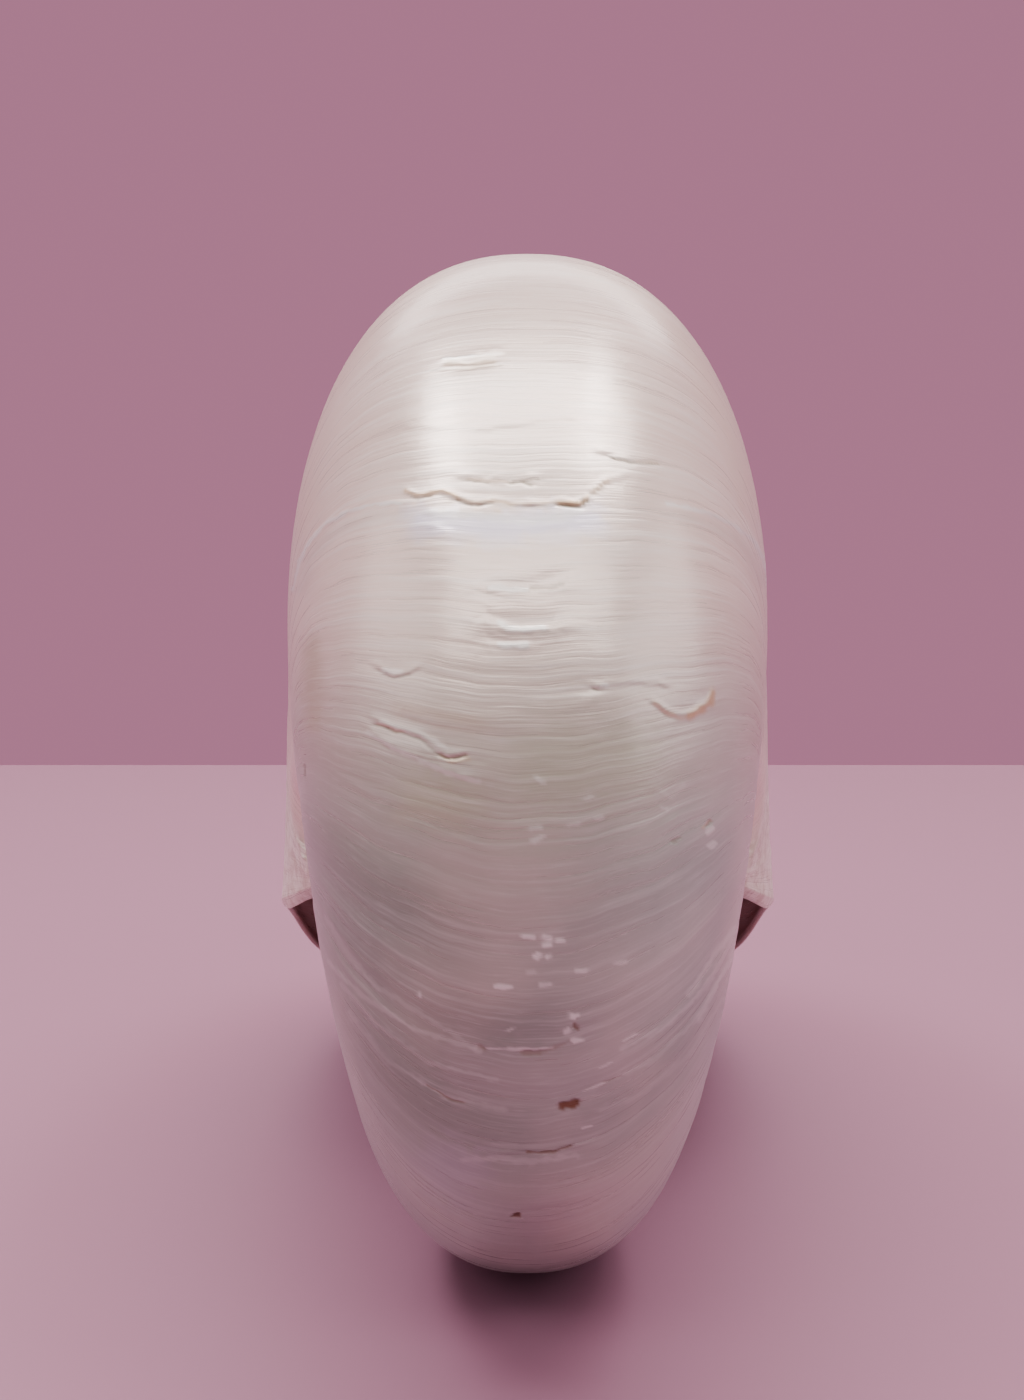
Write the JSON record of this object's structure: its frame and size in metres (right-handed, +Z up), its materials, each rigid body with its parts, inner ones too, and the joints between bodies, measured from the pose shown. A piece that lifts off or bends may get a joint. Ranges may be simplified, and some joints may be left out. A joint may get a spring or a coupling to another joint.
{
  "type": "nautilus shell",
  "caption": "Coiled chambered nautilus shell, polished to its nacre, at rest on its lip and its older whorl.",
  "frame": {"origin": "centre of the bounding box's underside, at the level of the table the shell rests on", "axes": "+Z up, +Y from the older whorl at the front towards the mouth at the back, +X along the coil axis"},
  "size_m": [0.0684, 0.155, 0.1143],
  "materials": {
    "nacre": "satin, pearly"
  },
  "bodies": {
    "root": {"nautilus_shell": "nacre"}
  },
  "joints": []
}
